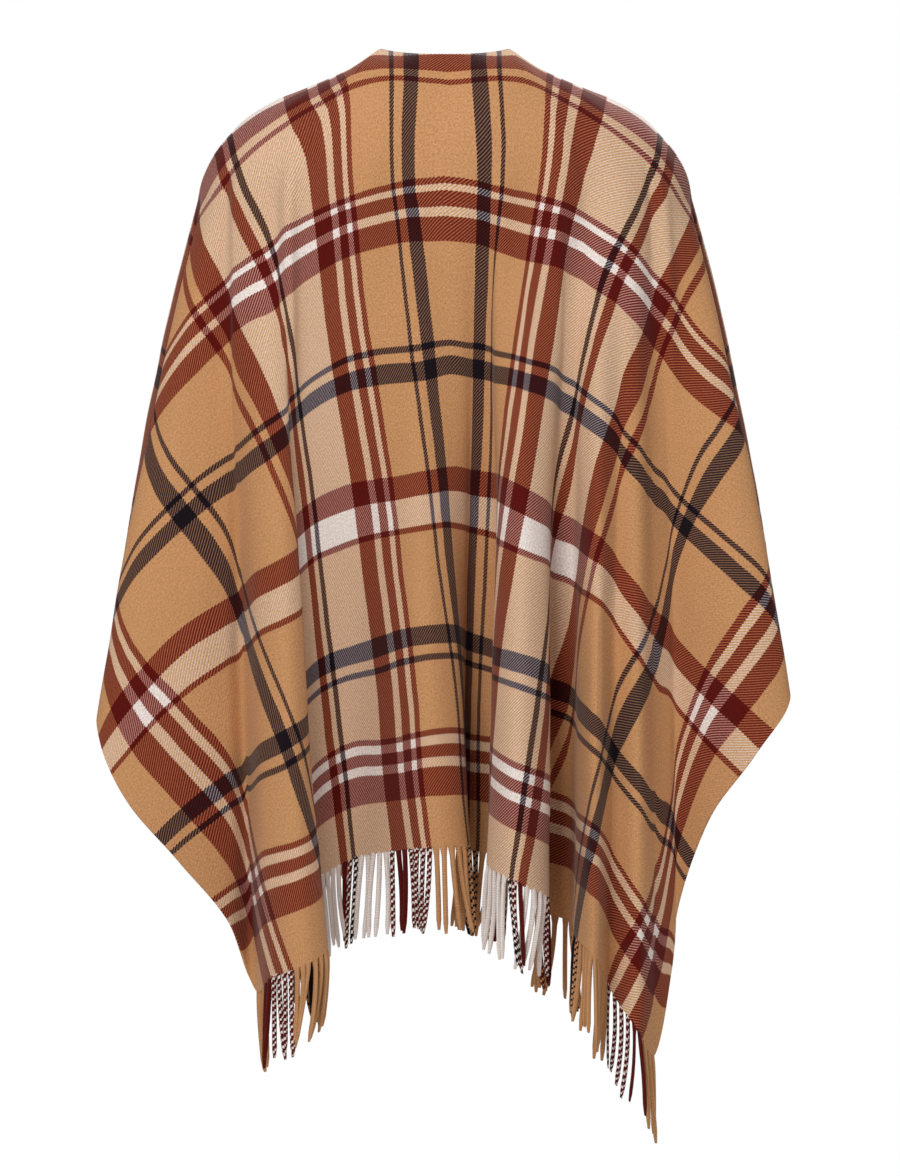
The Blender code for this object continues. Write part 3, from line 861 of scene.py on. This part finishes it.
# --- the pieces ---
class PONCHO_OT_cloth(bpy.types.Operator):
    """Lays the cloth over the shoulders and lets it fall in its folds"""

    bl_idname = "poncho.cloth"
    bl_label = "Lay the Cloth"
    bl_options = {"REGISTER", "UNDO"}

    def execute(self, context):
        settings = context.scene.poncho_cloth
        laid = laid_cloth(settings)
        columns, rows = laid.points.shape[:2]
        bpy.ops.object.select_all(action="DESELECT")
        bpy.ops.mesh.primitive_grid_add(
            x_subdivisions=columns - 1, y_subdivisions=rows - 1, size=2, location=(0, 0, 0)
        )
        cloth = context.object
        cloth.name = cloth.data.name = "plaid_cloth"
        mesh = cloth.data
        flat = np.empty(len(mesh.vertices) * 3)
        mesh.vertices.foreach_get("co", flat)
        flat = flat.reshape(-1, 3)
        column = np.rint((flat[:, 0] + 1) / 2 * (columns - 1)).astype(int)
        row = np.rint((1 - flat[:, 1]) / 2 * (rows - 1)).astype(int)
        mesh.vertices.foreach_set("co", laid.points[column, row].ravel())
        layer = mesh.uv_layers[0]
        layer.name = "cloth"
        corners = np.empty(len(mesh.loops), dtype=int)
        mesh.loops.foreach_get("vertex_index", corners)
        layer.data.foreach_set("uv", laid.threads[column, row][corners].ravel())
        mesh.update()
        only(cloth)
        bpy.ops.object.mode_set(mode="EDIT")
        bpy.ops.mesh.select_all(action="SELECT")
        bpy.ops.mesh.remove_doubles(threshold=0.00002)
        bpy.ops.mesh.normals_make_consistent(inside=False)
        bpy.ops.object.mode_set(mode="OBJECT")
        hindmost = min(mesh.polygons, key=lambda polygon: polygon.center.y)
        if hindmost.normal.y > 0:
            bpy.ops.object.mode_set(mode="EDIT")
            bpy.ops.mesh.flip_normals()
            bpy.ops.object.mode_set(mode="OBJECT")
        bpy.ops.object.modifier_add(type="SOLIDIFY")
        cloth.modifiers[-1].thickness = settings.wall
        cloth.modifiers[-1].offset = 0.0
        bpy.ops.object.modifier_apply(modifier=cloth.modifiers[-1].name)
        bpy.ops.object.shade_smooth_by_angle(angle=math.radians(50))
        cloth.data.materials.clear()
        cloth.data.materials.append(plaid_twill(settings))
        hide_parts("poncho_cloth")
        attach(cloth, "root")
        return {"FINISHED"}


class PONCHO_OT_fringes(bpy.types.Operator):
    """Twists the warp ends at the hems into strands"""

    bl_idname = "poncho.fringes"
    bl_label = "Twist the Fringes"
    bl_options = {"REGISTER", "UNDO"}

    def execute(self, context):
        settings = context.scene.poncho_fringe
        yarn = twisted_yarn(settings)
        laid = laid_cloth(context.scene.poncho_cloth)
        draws = random.Random(11)
        model = self.model_strand(context, settings)
        for name, node, first, last in (
            ("back_fringe", "fringe_back", -HALF_WIDTH, HALF_WIDTH),
            ("right_front_fringe", "fringe_front_right", FRONT_CORNER, SLIT),
            ("left_front_fringe", "fringe_front_left", -SLIT, -FRONT_CORNER),
        ):
            hem = [i for i, edge in enumerate(laid.edges) if first - 1e-6 <= edge <= last + 1e-6]
            count = round((last - first) / settings.pitch)
            strands = []
            for number in range(count):
                at = first + (number + 0.5) * (last - first) / count
                strands.append(self.hang_strand(context, model, draws, hem_place(laid, hem, at)))
            fringe = self.join(context, strands, name)
            fringe.data.materials.clear()
            fringe.data.materials.append(yarn)
            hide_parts(node)
            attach(fringe, "root")
        bpy.data.objects.remove(model)
        return {"FINISHED"}

    def model_strand(self, context, settings):
        """One straight strand with rings close together, which the copies are bent from."""
        bpy.ops.object.select_all(action="DESELECT")
        bpy.ops.mesh.primitive_cylinder_add(
            vertices=STRAND_SIDES, radius=1, depth=1, end_fill_type="NGON", location=(0, 0, 0)
        )
        model = context.object
        only(model)
        bpy.ops.object.mode_set(mode="EDIT")
        bpy.ops.mesh.select_all(action="DESELECT")
        bpy.ops.object.mode_set(mode="OBJECT")
        mesh = model.data
        for edge in mesh.edges:
            top, bottom = (mesh.vertices[i].co.z for i in edge.vertices)
            edge.select = abs(top - bottom) > 0.5
        bpy.ops.object.mode_set(mode="EDIT")
        bpy.ops.mesh.select_mode(type="EDGE")
        bpy.ops.mesh.subdivide(number_cuts=STRAND_CUTS)
        bpy.ops.object.mode_set(mode="OBJECT")
        layer = mesh.uv_layers[0]
        layer.name = "strand"
        for polygon in mesh.polygons:
            turns = [self.turn_of(mesh.vertices[i].co) for i in polygon.vertices]
            wraps = max(turns) - min(turns) > 0.5
            for corner, turn in zip(polygon.loop_indices, turns):
                height = mesh.vertices[mesh.loops[corner].vertex_index].co.z
                around = turn + 1 if wraps and turn < 0.5 else turn
                layer.data[corner].uv = (around, (0.5 - height) * settings.length)
        return model

    @staticmethod
    def turn_of(place):
        return round(math.atan2(place.y, place.x) / math.tau * STRAND_SIDES) % STRAND_SIDES / STRAND_SIDES

    def hang_strand(self, context, model, draws, hem):
        """A copy of the model, flat where it leaves the hem, then round, hanging with a lean of its own."""
        settings = context.scene.poncho_fringe
        down, face, along = hem.down, hem.face, hem.along
        length = settings.length * (1 + draws.uniform(-0.07, 0.05))
        aside = 0.010 * math.sin(hem.at * 61) + draws.uniform(-0.005, 0.005)
        outwards = 0.006 * math.sin(hem.at * 47 + 1) + draws.uniform(-0.003, 0.003)
        lean = along * aside + face * outwards
        bend = along * draws.uniform(-0.0022, 0.0022) + face * draws.uniform(-0.002, 0.002)
        first_turn = draws.random()
        strand = model.copy()
        strand.data = model.data.copy()
        context.collection.objects.link(strand)
        radius = settings.thickness / 2
        spread = min(settings.pitch * hem.stretch / 2, ROOT_HALF_WIDTH)
        for vertex in strand.data.vertices:
            share = 0.5 - vertex.co.z
            turn = math.atan2(vertex.co.y, vertex.co.x)
            stiff = min(share * length, STRAND_STIFF)
            middle = hem.root + down * (stiff - STRAND_OVERLAP) - Vector((0, 0, share * length - stiff))
            middle += lean * share**1.6 + bend * math.sin(math.pi * share)
            flatness = 1 - smooth_between(0.0, 0.16, share)
            end = 1 - 0.45 * smooth_between(0.93, 1.0, share)
            wide = (radius * (1 - flatness) + spread * flatness) * end
            thick = (radius * (1 - flatness) + ROOT_HALF_THICKNESS * flatness) * end
            vertex.co = middle + along * math.cos(turn) * wide + face * math.sin(turn) * thick
        self.colour_plies(context, strand, hem.at, settings.pitch * PLY_STEP)
        for corner in strand.data.uv_layers[0].data:
            corner.uv = (corner.uv[0] + first_turn, corner.uv[1])
        return strand

    @staticmethod
    def colour_plies(context, strand, at, step):
        """Gives a strand the colours of the two warp yarns that go into it."""
        colours = yarn_colours(context.scene.poncho_cloth)
        yarns = sorted(warp_yarn(hem_thread(place).x) for place in (at - step, at + step))
        for name, yarn in zip(("ply_one", "ply_two"), yarns):
            layer = strand.data.color_attributes.new(name, "FLOAT_COLOR", "POINT")
            layer.data.foreach_set("color", [*colours[yarn], 1.0] * len(strand.data.vertices))

    def join(self, context, strands, name):
        bpy.ops.object.select_all(action="DESELECT")
        for strand in strands:
            strand.select_set(True)
        context.view_layer.objects.active = strands[0]
        bpy.ops.object.join()
        fringe = context.object
        fringe.name = fringe.data.name = name
        only(fringe)
        bpy.ops.object.mode_set(mode="EDIT")
        bpy.ops.mesh.select_all(action="SELECT")
        bpy.ops.mesh.normals_make_consistent(inside=False)
        bpy.ops.object.mode_set(mode="OBJECT")
        bpy.ops.object.shade_smooth_by_angle(angle=math.radians(60))
        return fringe


class PONCHO_OT_studio(bpy.types.Operator):
    """Sets up the pale floor, the soft light and the camera behind the wearer"""

    bl_idname = "poncho.studio"
    bl_label = "Set Up the Studio"
    bl_options = {"REGISTER", "UNDO"}

    def execute(self, context):
        settings = context.scene.poncho_studio
        bpy.ops.object.select_all(action="DESELECT")
        centre = (0, 0, settings.floor)
        bpy.ops.mesh.primitive_circle_add(vertices=96, radius=FLOOR_RADIUS, fill_type="NGON", location=centre)
        floor = context.object
        floor.name = "studio_floor"
        floor.data.materials.append(pale_floor())
        for name, place, size, power in (
            ("key_light", (-0.9, -2.8, 2.0), 1.2, settings.key),
            ("fill_light", (2.8, -2.6, 0.4), 2.4, settings.fill),
            ("front_light", (0.9, 2.8, 2.0), 1.2, settings.key),
        ):
            bpy.ops.object.light_add(type="AREA", radius=size / 2, location=place)
            light = context.object
            light.name, light.data.size, light.data.energy = name, size, power
            light.rotation_euler = (VIEW_CENTRE - light.location).to_track_quat("-Z", "Y").to_euler()
        context.scene.world = self.white_air(settings.sky)
        behind = VIEW_CENTRE - Vector((0, settings.distance, 0))
        bpy.ops.object.camera_add(location=behind, rotation=(math.radians(90), 0, 0))
        camera = context.object
        camera.name = "photograph_camera"
        camera.data.sensor_fit = "VERTICAL"
        camera.data.sensor_height = SENSOR_MM
        camera.data.lens = SENSOR_MM * settings.distance / VIEW_HEIGHT
        camera.data.clip_end = 100
        context.scene.camera = camera
        context.scene.view_settings.view_transform = "Standard"
        return {"FINISHED"}

    @staticmethod
    def white_air(strength):
        """A world that the camera sees as pure white, and that lights the cloth with this strength."""
        world = bpy.data.worlds.new("studio_air")
        world.use_nodes = True
        nodes, links = world.node_tree.nodes, world.node_tree.links
        lit, seen = nodes["Background"], nodes.new("ShaderNodeBackground")
        path, join = nodes.new("ShaderNodeLightPath"), nodes.new("ShaderNodeMixShader")
        for shader, power in ((lit, strength), (seen, 1.0)):
            shader.inputs["Color"].default_value = (1, 1, 1, 1)
            shader.inputs["Strength"].default_value = power
        links.new(path.outputs["Is Camera Ray"], join.inputs[0])
        links.new(lit.outputs[0], join.inputs[1])
        links.new(seen.outputs[0], join.inputs[2])
        links.new(join.outputs[0], nodes["World Output"].inputs["Surface"])
        return world


class PONCHO_PT_panel(bpy.types.Panel):
    """The poncho's pieces and their settings"""

    bl_label = "Poncho"
    bl_idname = "PONCHO_PT_panel"
    bl_space_type = "VIEW_3D"
    bl_region_type = "UI"
    bl_category = "Poncho"

    def draw(self, context):
        for group, names, operator in (
            (context.scene.poncho_cloth, PONCHO_PG_cloth.__annotations__, PONCHO_OT_cloth),
            (context.scene.poncho_fringe, PONCHO_PG_fringe.__annotations__, PONCHO_OT_fringes),
            (context.scene.poncho_studio, PONCHO_PG_studio.__annotations__, PONCHO_OT_studio),
        ):
            box = self.layout.box()
            for name in names:
                box.prop(group, name)
            box.operator(operator.bl_idname)


CLASSES = (
    PONCHO_PG_cloth, PONCHO_PG_fringe, PONCHO_PG_studio,
    PONCHO_OT_cloth, PONCHO_OT_fringes, PONCHO_OT_studio, PONCHO_PT_panel,
)


def register():
    for cls in CLASSES:
        bpy.utils.register_class(cls)
    bpy.types.Scene.poncho_cloth = bpy.props.PointerProperty(type=PONCHO_PG_cloth)
    bpy.types.Scene.poncho_fringe = bpy.props.PointerProperty(type=PONCHO_PG_fringe)
    bpy.types.Scene.poncho_studio = bpy.props.PointerProperty(type=PONCHO_PG_studio)


def unregister():
    del bpy.types.Scene.poncho_cloth, bpy.types.Scene.poncho_fringe, bpy.types.Scene.poncho_studio
    for cls in reversed(CLASSES):
        bpy.utils.unregister_class(cls)


def main():
    register()
    bpy.ops.poncho.studio()
    bpy.ops.poncho.cloth()
    bpy.ops.poncho.fringes()


if __name__ == "__main__":
    main()
